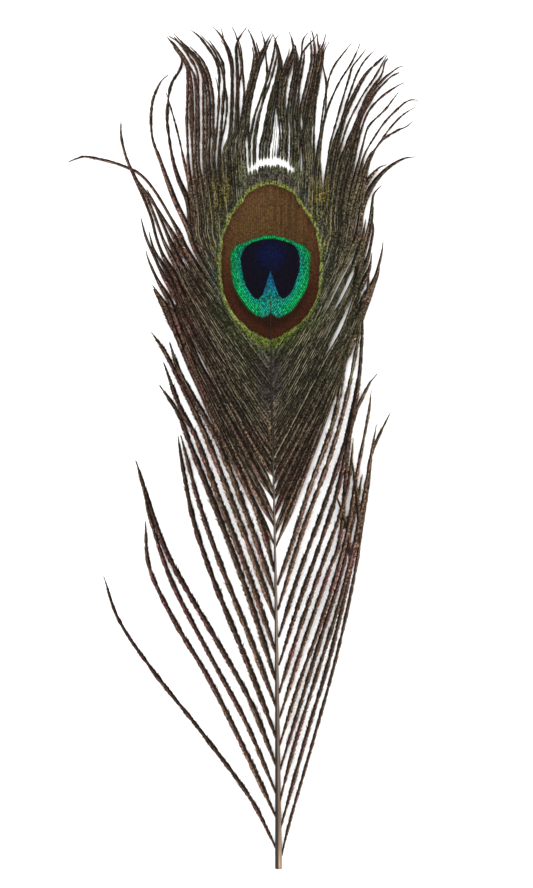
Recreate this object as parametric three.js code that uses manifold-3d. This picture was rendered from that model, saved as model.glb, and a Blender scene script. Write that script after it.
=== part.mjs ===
// A peacock's eye feather, lying face up: one shaft, loose barbs down both
// sides, a closed vane round the eye and a fringe of long free barb ends.
// Millimetres, +Z up. The origin is under the cut end of the shaft, on the
// surface that the feather lies on, and +Y runs along the shaft to the eye.
import * as THREE from 'three';
import { mergeVertices } from 'three/addons/utils/BufferGeometryUtils.js';
import Module from 'manifold-3d';

// ---- driving dimensions -------------------------------------------------

// The shaft: its centre line from the cut end to inside the eye.
const SHAFT_LINE = [[0.2, 0], [0, 25], [-0.7, 90], [-1.8, 143], [-2.3, 173], [-2.5, 208]];
const SHAFT_BUTT_WIDTH = 2.5;
const SHAFT_END_WIDTH = 0.5;
const SHAFT_TAPER = 1.8;
const SHAFT_BUTT_HEIGHT = 2.4;
const SHAFT_END_HEIGHT = 1.1;
const SHAFT_STEPS = 20;

// Every web of the vane, beside the shaft.
const WEB_UNDERSIDE = 0.35;
const WEB_THICKNESS = 0.7;

// The closed vane round the eye.
const VANE_EDGE_POINTS = 56;
const VANE_EDGE = [
  [-1.6, 106], [-5, 119], [-9.5, 131], [-16, 140], [-20.5, 149], [-26, 160],
  [-31, 171], [-36, 183], [-36.5, 194], [-33.5, 205], [-32, 217], [-31, 230],
  [-22, 234], [-11, 237], [0, 239], [9, 237], [12.5, 228], [14.5, 222],
  [17, 229], [22, 233], [27.5, 227], [27.5, 214], [25, 203], [20, 192],
  [15, 181], [17, 170], [18, 160], [13.5, 149], [11, 140], [7.8, 129],
  [4.8, 118], [1.2, 107],
];

// The bare crescent over the eye, where only the barbs' stems cross.
const CRESCENT_BELOW = [[-10, 232.2], [-6.5, 233.4], [-2.2, 233.9], [2, 233.4], [6, 231]];
const CRESCENT_ABOVE = [[2, 235.6], [-2.6, 236.3], [-6, 235.4]];

// A lock is a barb with its barbules, or a few barbs that cling together.
const LOCK_TIP_WIDTH = 0.5;
const LOCK_TAPER = 0.75;
const LOCK_STEP_LENGTH = 9;
const LOCK_FEWEST_STEPS = 4;
const LOOSE_WIDTH = 2;

// How far the vane and the barbs lift off the surface beside the shaft, and
// how far from the shaft they come back down to it.
const BARB_ARCH = 2.2;
const VANE_ARCH = 0.8;
const ARCH_START = 1.5;
const ARCH_SPAN = 42;
const ARCH_FALLS_FROM = 110;
const ARCH_FALLS_TO = 160;
const SLIVER = 0.02;

// Loose barbs, each from its root on the shaft to its tip.
const LEFT_LOOSE = [
  [[-0.6, 6.7], [-9.3, 23.7], [-24.3, 44.3], [-42, 66.3], [-53, 82.7], [-58, 97]],
  [[-0.6, 17], [-9, 35.3], [-22.3, 62.3], [-34.3, 82.3], [-42.7, 100], [-44.2, 115.3]],
  [[-0.6, 25], [-10.7, 49], [-23, 72], [-35.3, 95.7], [-42.3, 116], [-44.7, 126]],
  [[-0.6, 34.3], [-9.3, 56], [-20.3, 76], [-35.7, 102.7], [-42.7, 121], [-47.3, 135.7]],
  [[-0.6, 43.7], [-10.3, 69], [-21.3, 96], [-28, 116], [-31.7, 134.3], [-33.2, 143.7]],
  [[-0.6, 53.7], [-9, 76], [-19.7, 103], [-26.3, 122], [-30.3, 136.7], [-32.3, 144]],
  [[-0.8, 62.7], [-9.3, 89.3], [-19, 115.7], [-28.7, 140], [-33.3, 151.7], [-39.3, 160.7]],
  [[-0.8, 72], [-9, 96], [-19.3, 122.7], [-27.3, 143.7], [-32.3, 153], [-38, 168.3]],
  [[-0.8, 82.7], [-10.3, 109], [-23.3, 142.3], [-31.3, 159.3], [-37.7, 172], [-42, 178.3]],
  [[-0.8, 90.3], [-9.7, 116], [-20.3, 142.7], [-28.7, 157.7], [-33.3, 166.7], [-36, 175]],
  [[-1.2, 98.7], [-6, 116], [-16.3, 140], [-25.3, 159.3], [-36, 182], [-41.3, 192.7]],
];
const RIGHT_LOOSE = [
  [[0.8, 2.7], [4, 16], [10.7, 39.3], [19, 69.3], [25, 96], [29, 121], [31.3, 136]],
  [[0.6, 12.7], [9.7, 45.3], [17.3, 71], [24, 99.3], [29.3, 124], [31, 137.7], [37.3, 151.7]],
  [[0.6, 22.7], [5.7, 42], [12.7, 64.3], [20.7, 90], [26.3, 112.7], [30, 132.7], [32.7, 147.7]],
  [[0.6, 32.7], [6.3, 51.3], [13.7, 75.3], [21, 98.3], [24.5, 114], [28, 131]],
  [[0.5, 41], [7.3, 62.7], [15, 84.3], [22.3, 109.3], [26.3, 132], [30, 151], [31, 159]],
  [[0.5, 50], [7.7, 72.7], [16.7, 98.7], [20.7, 111], [24, 144.7], [29.3, 159.3], [33, 164.7]],
  [[0.3, 58.3], [7.3, 80.3], [16.7, 107], [20, 116.3], [23.5, 129], [25, 143]],
  [[0.3, 67.7], [7, 88.7], [14.3, 109.3], [20, 127], [24.3, 148], [27, 164], [28.3, 184.3]],
  [[0.2, 77], [7, 98.3], [15, 120], [21.7, 140.3], [25, 154.3], [28, 171]],
  [[-0.1, 86], [8.3, 112.7], [17.3, 137.3], [23, 157.7], [27.7, 182]],
  [[-0.2, 94.3], [5, 109.3], [10.3, 126], [18.7, 150], [24, 177.7], [27.7, 186], [32.3, 195.7]],
];

// Free barb ends round the vane, each [width at its root, points to the tip].
const LEFT_FRINGE = [
  [2, [[-37, 187], [-41.7, 198.7], [-44, 205.7]]],
  [2, [[-35, 192], [-41.3, 204], [-45.7, 216.7]]],
  [2.4, [[-30, 202], [-34.7, 214.7], [-41.7, 226.7], [-51.7, 233.8], [-63.7, 237], [-69.7, 235.3]]],
  [2.2, [[-33, 199], [-39.3, 208.3], [-42.3, 220.7], [-49, 232.7], [-52.3, 244.3], [-52.3, 249]]],
  [1.8, [[-32.5, 208], [-40.7, 220.7], [-46.7, 229.3]]],
  [2.2, [[-29.5, 206], [-35.3, 225.3], [-40.7, 239.3], [-42.3, 249.3], [-40.7, 258.7], [-36.7, 264]]],
  [2.4, [[-29, 218], [-35.7, 240], [-36.7, 255.3], [-32.3, 267], [-32.3, 272]]],
  [1.8, [[-28.5, 226], [-32.7, 242], [-35.7, 253.3], [-37.3, 258.3]]],
  [3.2, [[-28, 226], [-30, 240], [-30.3, 253.3], [-31, 268.3], [-37.3, 277]]],
  [3.6, [[-25.5, 226], [-26.6, 240], [-26.4, 254], [-28, 265], [-36.3, 276]]],
  [2.6, [[-23, 226], [-22.9, 242], [-22.7, 254.3], [-26, 268.3], [-34.7, 278]]],
  [2.4, [[-20.5, 226], [-19.5, 246], [-18.7, 259.3], [-20.7, 270.7], [-27.7, 279]]],
  [2.2, [[-17, 228], [-15.6, 246], [-15, 257.7], [-16.7, 272.7], [-22.3, 280]]],
  [3.4, [[-13.6, 228], [-13.4, 246], [-13.4, 262], [-13.6, 272.7], [-15.3, 280]]],
  [3.6, [[-11, 228], [-10.6, 246], [-9, 260], [-7.3, 272.7], [-10, 279.3]]],
  [3.6, [[-6, 230], [-4.6, 246], [-4.2, 259.3], [-3.3, 269.3], [-5.7, 279]]],
  [2.4, [[-3, 231], [-2.2, 246], [-1.9, 259.3], [-1, 269.3], [-2.4, 278]]],
];
const RIGHT_FRINGE = [
  [1.8, [[0.6, 231], [1.3, 246], [2, 259.3], [1.7, 272.7]]],
  [4.4, [[4.4, 230], [5.4, 246], [6.7, 264.3], [6.5, 272.7], [4.7, 278.7]]],
  [4.4, [[7.6, 230], [8.4, 244], [8.6, 260], [8.6, 271], [9.7, 278]]],
  [2.8, [[10.4, 228], [10.4, 244], [11.4, 259.3], [14, 270], [13, 277.7]]],
  [2, [[12.6, 226], [13.6, 242], [15.6, 258], [15, 270], [17, 275]]],
  [2, [[13, 226], [13.8, 240], [16.6, 260], [21, 270.3], [24.7, 275]]],
  [2, [[13.5, 224], [14.4, 238], [16, 248.7], [21, 262.7], [27.3, 274.7]]],
  [2.6, [[18, 226], [19.2, 249.3], [23.4, 263.3], [29.3, 272.7]]],
  [3, [[19.5, 226], [21.7, 248.7], [26.3, 260.7], [35.3, 271.3]]],
  [3, [[21.5, 226], [24.7, 251], [33.3, 265.3], [36.3, 270.7]]],
  [3, [[23, 226], [27.3, 248.7], [33.3, 259], [41, 265]]],
  [2.4, [[24.5, 224], [28.5, 246.7], [34.3, 256.7], [42, 261.7]]],
  [2.2, [[25.6, 222], [30, 244.7], [36, 253], [40, 258.3]]],
  [2.4, [[26, 219], [32, 241.3], [40.7, 253.7], [46.7, 255.7]]],
  [2.2, [[26.4, 215], [31, 234.7], [36.7, 243], [45, 249]]],
  [2.2, [[26, 208], [29.3, 222], [34.3, 231], [45.7, 237]]],
  [2, [[15, 184], [22, 195], [29, 208], [31.6, 221], [34.3, 227.3]]],
  [2, [[13, 172], [20, 183], [28.6, 194], [33.3, 203], [35, 211]]],
];

const FEATHER_COLOUR = 0x4b4426;
const FEATHER_ROUGHNESS = 0.55;

// ---- solids -------------------------------------------------------------

const wasm = await Module();
wasm.setup();

function toSolid(geometry) {
  geometry.deleteAttribute('normal');
  geometry.deleteAttribute('uv');
  const merged = mergeVertices(geometry, 1e-5);
  return new wasm.Manifold(new wasm.Mesh({
    numProp: 3,
    vertProperties: new Float32Array(merged.attributes.position.array),
    triVerts: new Uint32Array(merged.index.array),
  }));
}

function toGeometry(solid) {
  const mesh = solid.getMesh();
  const geometry = new THREE.BufferGeometry();
  geometry.setAttribute('position', new THREE.BufferAttribute(mesh.vertProperties, 3));
  geometry.setIndex(new THREE.BufferAttribute(mesh.triVerts, 1));
  return geometry;
}

// Every web is a flat plate of one thickness until it is lifted below.
function makeWeb(outline) {
  const options = { depth: WEB_THICKNESS, bevelEnabled: false };
  const geometry = new THREE.ExtrudeGeometry(new THREE.Shape(outline), options);
  geometry.translate(0, 0, WEB_UNDERSIDE);
  return toSolid(geometry);
}

const shaftLine = new THREE.CatmullRomCurve3(SHAFT_LINE.map(([x, y]) => new THREE.Vector3(x, y, 0)));

// A unit section with a flat underside and a rounded back, swept up the shaft.
function makeShaft() {
  const section = new THREE.Shape([
    new THREE.Vector2(-0.36, 0),
    new THREE.Vector2(0.36, 0),
    new THREE.Vector2(0.5, 0.35),
    new THREE.Vector2(0.38, 0.8),
    new THREE.Vector2(0.12, 1),
    new THREE.Vector2(-0.12, 1),
    new THREE.Vector2(-0.38, 0.8),
    new THREE.Vector2(-0.5, 0.35),
  ]);
  const options = { depth: 1, steps: SHAFT_STEPS, bevelEnabled: false };
  const geometry = new THREE.ExtrudeGeometry(section, options);
  const position = geometry.attributes.position;
  for (let i = 0; i < position.count; i += 1) {
    const along = position.getZ(i);
    const centre = shaftLine.getPointAt(along);
    const taper = (1 - along) ** SHAFT_TAPER;
    const width = THREE.MathUtils.lerp(SHAFT_END_WIDTH, SHAFT_BUTT_WIDTH, taper);
    const height = THREE.MathUtils.lerp(SHAFT_END_HEIGHT, SHAFT_BUTT_HEIGHT, taper);
    position.setXYZ(i, centre.x - position.getX(i) * width, centre.y, position.getY(i) * height);
  }
  return toSolid(geometry);
}

// A lock thins to its tip.
function makeLock(points, width) {
  const line = new THREE.CatmullRomCurve3(points.map(([x, y]) => new THREE.Vector3(x, y, 0)));
  const steps = Math.max(LOCK_FEWEST_STEPS, Math.round(line.getLength() / LOCK_STEP_LENGTH));
  const leftEdge = [];
  const rightEdge = [];
  for (let step = 0; step <= steps; step += 1) {
    const along = step / steps;
    const centre = line.getPointAt(along);
    const tangent = line.getTangentAt(along);
    const half = (LOCK_TIP_WIDTH + (width - LOCK_TIP_WIDTH) * (1 - along) ** LOCK_TAPER) / 2;
    leftEdge.push(new THREE.Vector2(centre.x - tangent.y * half, centre.y + tangent.x * half));
    rightEdge.push(new THREE.Vector2(centre.x + tangent.y * half, centre.y - tangent.x * half));
  }
  return makeWeb([...rightEdge, ...leftEdge.reverse()]);
}

function makeVane() {
  const edge = new THREE.CatmullRomCurve3(VANE_EDGE.map(([x, y]) => new THREE.Vector3(x, y, 0)), true);
  const crescentRim = [...CRESCENT_BELOW, ...CRESCENT_ABOVE];
  const crescent = makeWeb(crescentRim.map(([x, y]) => new THREE.Vector2(x, y)));
  return makeWeb(edge.getSpacedPoints(VANE_EDGE_POINTS).slice(0, -1)).subtract(crescent);
}

// Lifts the webs: they arch up beside the shaft and come down at their ends.
function liftAt(x, y) {
  const shaftX = shaftLine.getPointAt(THREE.MathUtils.clamp(y / SHAFT_LINE.at(-1)[1], 0, 1)).x;
  const out = Math.max(0, Math.abs(x - shaftX) - ARCH_START) / ARCH_SPAN;
  const fall = THREE.MathUtils.smoothstep(y, ARCH_FALLS_FROM, ARCH_FALLS_TO);
  const arch = THREE.MathUtils.lerp(BARB_ARCH, VANE_ARCH, fall);
  const down = WEB_UNDERSIDE * THREE.MathUtils.smoothstep(out, 0.5, 1);
  return arch * Math.sin(Math.PI * Math.min(out, 1)) - down;
}

let joined = makeShaft().add(makeVane());
for (const points of [...LEFT_LOOSE, ...RIGHT_LOOSE]) {
  joined = joined.add(makeLock(points, LOOSE_WIDTH));
}
for (const [width, points] of [...LEFT_FRINGE, ...RIGHT_FRINGE]) {
  joined = joined.add(makeLock(points, width));
}
const featherGeometry = toGeometry(joined.simplify(SLIVER));
const points = featherGeometry.attributes.position;
for (let i = 0; i < points.count; i += 1) {
  points.setZ(i, points.getZ(i) + liftAt(points.getX(i), points.getY(i)));
}
featherGeometry.computeVertexNormals();

const feather = new THREE.Mesh(
  featherGeometry,
  new THREE.MeshStandardMaterial({
    color: FEATHER_COLOUR,
    roughness: FEATHER_ROUGHNESS,
    metalness: 0,
  }),
);
feather.name = 'feather';

const model = new THREE.Group();
model.add(feather);

export default model;
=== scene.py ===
import math
import random
from collections import namedtuple

import bpy
import numpy as np
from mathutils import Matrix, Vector


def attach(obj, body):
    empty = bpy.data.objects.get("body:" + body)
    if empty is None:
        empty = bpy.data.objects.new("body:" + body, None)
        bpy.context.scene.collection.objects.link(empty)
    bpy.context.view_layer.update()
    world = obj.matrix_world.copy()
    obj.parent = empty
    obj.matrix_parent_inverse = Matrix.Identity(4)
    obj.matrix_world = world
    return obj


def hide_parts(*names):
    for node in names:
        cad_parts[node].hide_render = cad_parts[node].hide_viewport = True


# A peacock's eye feather, lying face up. The frame is in metres with +Y along
# the shaft and +Z up. Guide points below are in millimetres, times MM.
MM = 0.001

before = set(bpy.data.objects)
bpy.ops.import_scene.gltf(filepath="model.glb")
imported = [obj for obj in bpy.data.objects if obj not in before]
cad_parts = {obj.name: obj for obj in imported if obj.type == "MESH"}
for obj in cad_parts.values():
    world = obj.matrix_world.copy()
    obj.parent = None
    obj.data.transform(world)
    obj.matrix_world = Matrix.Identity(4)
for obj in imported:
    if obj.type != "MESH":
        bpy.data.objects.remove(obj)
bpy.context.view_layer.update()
random.seed(11)
ROUGHNESS = np.random.default_rng(5)

# ---- sizes ---------------------------------------------------------------

SHAFT_LINE = [(0.2, 0), (0, 25), (-0.7, 90), (-1.8, 143), (-2.3, 173), (-2.5, 208)]
SHAFT_BUTT_WIDTH = 2.4
SHAFT_END_WIDTH = 0.26
SHAFT_TAPER = 1.9
SHAFT_BUTT_HEIGHT = 2.3
SHAFT_END_HEIGHT = 1.25
SHAFT_SINKS = (183, 195)  # where it goes under the barbs of the eye
SHAFT_SUNK = 0.5          # share of its height that it loses there

# The closed vane: its barbs cross this level evenly spaced, then gather into
# the locks of the fringe.
SLOT_LEVEL = 212.0
SLOT_PAST = 1.12          # the barbs keep their curve a little past it
SLOT_START = 0.4
EYE_BARBS = 24            # barbs a side that cross the eye and its surround
LEFT_SLOT_PITCH = (0.7, 0.0012)
RIGHT_SLOT_PITCH = (0.7, 0.0)
INNER_ROOT_DROP = 8.0
LEFT_ROOT_DROP = 1.3
RIGHT_ROOT_DROP = 1.65
BEND_OFFSETS = (5, 18, 30, 40)
LEFT_BENDS = (2.0, 1.4, 1.25, 1.15)
RIGHT_BENDS = (2.0, 1.45, 1.33, 1.2)
FLANK_BEND = 1.1
FLANK_CURVE = 0.92        # share of the way to a flank's guide on that bend
LOCK_JOIN = 5             # a lock's guide takes over this far above the curve

STEP = 0.8                # along a barb
STEM_STEP = 1.6
STEM_SIDES = 5
LOOSE_STEM = (0.2, 0.07)  # radii at root and tip
VANE_STEM = (0.12, 0.06)
CRESCENT_STEM = 0.5       # share of its radius that a stem keeps there
BARBULE_PITCH = 0.36
BARBULE_ANGLE = 34.0      # degrees between a barbule and its barb
BARBULE_WIDTH = 0.27
BARBULE_BEND = 0.12       # shares of a barbule's length
BARBULE_DROOP = 0.1
BARBULE_TAPER = 0.85
WEB_FALL = 0.12
VANE_WEB = 0.96           # share of a barb's half width that is solid
LOOSE_WEB = 0.8

# What differs from one barbule to the next, each from and to: its turn in the
# vane, how its tip rises, its size and its tint.
BARBULE_RANGES = ((-0.09, 0.09), (-0.12, 0.12), (0.66, 1.22), (0.0, 1.0))

# How far the barbs lift off the surface beside the shaft.
BARB_HEIGHT = 0.75
BARB_ARCH = 2.2
VANE_ARCH = 0.8
ARCH_START = 1.5
ARCH_SPAN = 42.0
ARCH_FALLS_FROM = 110.0
ARCH_FALLS_TO = 160.0
TIP_DROP = 0.3

# The middle of the eye, and the bare crescent over it: arcs of its lower and
# upper edges.
EYE_X = -2.5
EYE_Y = 202.0
CRESCENT_X = -2.0
CRESCENT_HALF = 8.2
CRESCENT_LOW = 234.3
CRESCENT_LOW_FALL = 2.7
CRESCENT_HIGH = 236.3
CRESCENT_HIGH_FALL = 4.7

# Half widths of the barbs of the vane: where they meet, where they are free,
# and the least where they crowd.
VANE_REACH = 0.95
FLANK_BODY_REACH = 1.05
LEFT_FREE_REACH = 0.5
RIGHT_FREE_REACH = 0.64
FREE_HEIGHTS = (224, 240)  # between these the barbs of the locks come free
FLANK_FREE_OVER = 9
FLANK_REACH = 0.5
SLIM_REACH = 0.36
GAP_COVER = 0.66           # half width over the gap to the next barb
CLOSED_HEIGHTS = (236, 226)
ROUGH_HEIGHTS = (232, 240)
EDGE_ROUGHNESS = 0.28      # how unevenly the barbules of a free barb reach out
MIDDLE_SLIMMING = 0.2      # of the locks that start near the middle
MIDDLE = (11, 8)
LEFT_LOOSE_REACH = 1.15    # times the half widths of LEFT_LOOSE
RIGHT_LOOSE_REACH = 1.02
LOOSE_LAYER = 0.22         # of height between loose barbs that cross
VANE_LAYERS = (0, 0.06)
RIGHT_HAIRS = (0, 1, 2)
HAIR_THINNING = 0.7
HAIR_HEIGHTS = (235, 241)

# Shares of its half width that a barb keeps at its root and its tip.
LOOSE_ROOT = 0.5
VANE_ROOT = 0.28
TIP_SHARE = 0.16
LOOSE_TIP_LENGTH = 10
VANE_TIP_LENGTH = 9
LOOSE_NARROWING = 0.3      # of a loose barb, over this length before its tip
LOOSE_NARROWS_OVER = 45
CUT_TAPER = (0.5, 0.85)    # where barbules stop at the crescent
TIP_LENGTHS = (2, 18)      # from the tip, where its own colour fades out

# The barbs of one lock: how far they drift, how far they have gathered at the
# tip, and the share of the lock's length at which the shorter ones end.
LOCK_DRIFT = 0.14
LOCK_GATHERING = 0.6
LOCK_LENGTHS = (0.93, 0.995)

# Their half widths once free, each (factor, added): of barbs that cling
# together from their spacing, and of a single barb from the width of its lock.
CLINGING_REACH = (0.55, 0.05)
SINGLE_REACH = (0.25, 0.26)

# The shorter barbs that fill a flank: how close their roots keep to the barb
# above, for which roots, and their length over that of the vane.
ROOT_CLINGING = 0.5
CLINGING_ROOTS = (146, 130)
FILLING_LENGTHS = (0.86, 1)

# Long narrow gaps where the vane has parted: the barb beyond the gap, the
# heights between which it is open, and its width.
LEFT_PARTINGS = [(63, 147, 157, 0.5), (63, 160, 177, 0.9)]
RIGHT_PARTINGS = [(43, 180, 210, 1.1), (46, 182, 202, 1.1), (50, 172, 187, 0.6), (55, 169, 189, 1.4)]
PARTING_SPREAD = 9
OPEN_ROOTS = (143, 112)    # from the first to the second, roots stand ever more apart
OPEN_ROOT_LENGTH = 10.5
OPEN_ROOT_SCATTER = (0.7, 1.2)

# Loose barbs, (half width, root to tip).
LEFT_LOOSE = [
    (0.76, [(-0.6, 6.7), (-9.3, 23.7), (-24.3, 44.3), (-42, 66.3), (-53, 82.7), (-58, 97)]),
    (0.92, [(-0.6, 17), (-9, 35.3), (-22.3, 62.3), (-34.3, 82.3), (-42.7, 100), (-44.2, 115.3)]),
    (0.85, [(-0.6, 25), (-10.7, 49), (-23, 72), (-35.3, 95.7), (-42.3, 116), (-44.7, 126)]),
    (0.98, [(-0.6, 34.3), (-9.3, 56), (-20.3, 76), (-35.7, 102.7), (-42.7, 121), (-47.3, 135.7)]),
    (0.98, [(-0.6, 43.7), (-10.3, 69), (-21.3, 96), (-28, 116), (-31.7, 134.3), (-33.2, 143.7)]),
    (0.98, [(-0.6, 53.7), (-9, 76), (-19.7, 103), (-26.3, 122), (-30.3, 136.7), (-32.3, 144)]),
    (1.06, [(-0.8, 62.7), (-9.3, 89.3), (-19, 115.7), (-28.7, 140), (-33.3, 151.7), (-39.3, 160.7)]),
    (1.06, [(-0.8, 72), (-9, 96), (-19.3, 122.7), (-27.3, 143.7), (-32.3, 153), (-38, 168.3)]),
    (1.06, [(-0.8, 82.7), (-10.3, 109), (-23.3, 142.3), (-31.3, 159.3), (-37.7, 172), (-42, 178.3)]),
    (1.06, [(-0.8, 90.3), (-9.7, 116), (-20.3, 142.7), (-28.7, 157.7), (-33.3, 166.7), (-36, 175)]),
    (1.06, [(-1.2, 98.7), (-6, 116), (-16.3, 140), (-25.3, 159.3), (-36, 182), (-41.3, 192.7)]),
]
RIGHT_LOOSE = [
    (0.66, [(0.8, 2.7), (4, 16), (10.7, 39.3), (19, 69.3), (25, 96), (29, 121), (31.3, 136)]),
    (0.8, [(0.6, 12.7), (9.7, 45.3), (17.3, 71), (24, 99.3), (29.3, 124), (31, 137.7), (37.3, 151.7)]),
    (0.82, [(0.6, 22.7), (5.7, 42), (12.7, 64.3), (20.7, 90), (26.3, 112.7), (30, 132.7), (32.7, 147.7)]),
    (0.85, [(0.6, 32.7), (6.3, 51.3), (13.7, 75.3), (21, 98.3), (24.5, 114), (28, 131)]),
    (0.85, [(0.5, 41), (7.3, 62.7), (15, 84.3), (22.3, 109.3), (26.3, 132), (30, 151), (31, 159)]),
    (0.88, [(0.5, 50), (7.7, 72.7), (16.7, 98.7), (20.7, 111), (24, 144.7), (29.3, 159.3), (33, 164.7)]),
    (0.9, [(0.3, 58.3), (7.3, 80.3), (16.7, 107), (20, 116.3), (23.5, 129), (25, 143)]),
    (0.9, [(0.3, 67.7), (7, 88.7), (14.3, 109.3), (20, 127), (24.3, 148), (27, 164), (28.3, 184.3)]),
    (0.9, [(0.2, 77), (7, 98.3), (15, 120), (21.7, 140.3), (25, 154.3), (28, 171)]),
    (0.95, [(-0.1, 86), (8.3, 112.7), (17.3, 137.3), (23, 157.7), (27.7, 182)]),
    (0.95, [(-0.2, 94.3), (5, 109.3), (10.3, 126), (18.7, 150), (24, 177.7), (27.7, 186), (32.3, 195.7)]),
    # Three ends that are caught across the others.
    (0.95, [(24.2, 101), (23.8, 106), (23.4, 110), (22.8, 114), (21.7, 117.5), (20.3, 121.5), (18.9, 125)]),
    (0.95, [(27.2, 109), (26.9, 115), (26.6, 119), (26.3, 123), (25.8, 127), (25.2, 131), (24.3, 137)]),
    (1.0, [(21.7, 113), (22.8, 115.6), (24.2, 118.3), (25.6, 121), (26.8, 124.6), (27.6, 130)]),
]

# Locks of the closed vane from the middle outwards: how many barbs cling
# together, how wide they stand where they leave the vane, and the way of the
# lock from there to its longest tip.
LEFT_LOCKS = [
    (2, 0.9, [(-3.5, 237.7), (-2.7, 242.7), (-1.8, 249.3), (-0.7, 256), (0.7, 260.3), (3.2, 266),
        (5.7, 272), (6, 275.3), (4.8, 278.7)]),
    (3, 1.8, [(-5.2, 237.7), (-4.2, 244.3), (-3, 251), (-1.8, 257), (-0.2, 262.7), (0.7, 267.7),
        (0.3, 271), (-0.7, 275.3), (-1.8, 278)]),
    (1, 0.5, [(-7.6, 237.7), (-6.5, 248.7), (-5, 256), (-4, 262), (-3.7, 266), (-4.3, 272.7), (-4.7, 276),
        (-5.7, 279)]),
    (2, 1.2, [(-8.8, 238), (-7.6, 248.7), (-5.6, 255.3), (-3.2, 262), (-1.8, 267), (-0.7, 272),
        (-0.2, 276), (1, 277.3)]),
    (2, 1.3, [(-10.3, 238), (-10.6, 247), (-10.1, 254.3), (-8.9, 260.3), (-7.5, 266), (-6, 270.7),
        (-4, 275.3), (-2.7, 278)]),
    (3, 1.9, [(-12.2, 237.7), (-11.4, 246), (-10.2, 255.3), (-9, 260), (-8, 264.3), (-7.3, 268.7),
        (-7.2, 271), (-7.9, 274), (-8.7, 276.7), (-10, 279.3)]),
    (1, 0.5, [(-13.8, 237.7), (-11.8, 252.7), (-11.3, 258), (-11.7, 264.3), (-12.3, 272.7), (-13.3, 276)]),
    (1, 0.5, [(-14.6, 237.7), (-13.9, 249.3), (-13, 260.7), (-12.2, 266), (-13, 272.7), (-14, 277.3),
        (-15.3, 280)]),
    (2, 0.9, [(-15.6, 237.7), (-14, 246), (-13.7, 255), (-13.8, 264), (-14.3, 271), (-14.3, 274),
        (-13.3, 276.7), (-11.3, 279.8)]),
    (1, 0.4, [(-16.7, 237.7), (-15.9, 248), (-15.5, 258), (-15.6, 266), (-16.6, 271), (-18, 275.3),
        (-18.3, 277), (-19, 280)]),
    (2, 1.0, [(-17.8, 236), (-15.9, 244), (-15.2, 252), (-15, 262), (-15.2, 268), (-16.7, 272.7),
        (-18.3, 275.3), (-20.3, 278), (-22.3, 280)]),
    (1, 0.4, [(-19.3, 237), (-17.6, 247.7), (-17, 255), (-18.3, 264), (-19.5, 268), (-21, 271.5),
        (-23, 274.4), (-26, 277.6)]),
    (2, 1.2, [(-20.5, 234), (-19.6, 246), (-19.1, 254), (-18.7, 263), (-19.3, 267.7), (-20.7, 270.7),
        (-22.7, 273.7), (-25, 276.7), (-27.7, 279)]),
    (1, 0.4, [(-21.8, 236), (-20.3, 247), (-19.6, 255), (-20, 260), (-20.7, 263)]),
    (3, 2.2, [(-23, 235), (-22.7, 242.7), (-22.7, 254.3), (-23, 258.3), (-23.7, 262), (-24.7, 265.3),
        (-26, 268.3), (-28, 271), (-30.3, 273.3), (-32.7, 275.7), (-34.7, 278)]),
    (2, 1.4, [(-25.4, 234), (-25.5, 244), (-25.6, 252), (-25.7, 259), (-26, 264.3), (-27, 267.3),
        (-28.7, 270), (-30.3, 272.7), (-32.7, 275.3), (-35.3, 277)]),
    (3, 2.0, [(-27.2, 233), (-27.4, 243), (-27.3, 251), (-27.4, 258.5), (-28, 263.7), (-29.3, 266.7),
        (-30.7, 269.3), (-32.7, 272), (-34.7, 274.7), (-36.3, 276)]),
    (2, 1.6, [(-28.8, 232), (-29.4, 241), (-29.8, 249.3), (-29.7, 257), (-29.7, 262.7), (-30, 266),
        (-31, 268.3), (-32.3, 270.3), (-34, 272.7), (-37.3, 277)]),
    (1, 0.4, [(-29.4, 228), (-31.2, 235), (-32.7, 242), (-34.2, 248), (-35.7, 253.3), (-36.7, 256.7),
        (-37.3, 258.3)]),
    (1, 1.1, [(-30, 222), (-33, 229.3), (-35, 236), (-36.3, 243.7), (-36.9, 250), (-36.3, 257.7),
        (-35.2, 261.7), (-33.3, 264.7), (-32.2, 267), (-32, 269.3), (-32.3, 272)]),
    (1, 1.0, [(-30.3, 213.7), (-34, 221.7), (-36.7, 228.7), (-39.3, 236), (-41.7, 242.7), (-42.3, 249.3),
        (-41.7, 255.7), (-39.7, 260.7), (-38.3, 262.7), (-36.7, 264)]),
]
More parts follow.
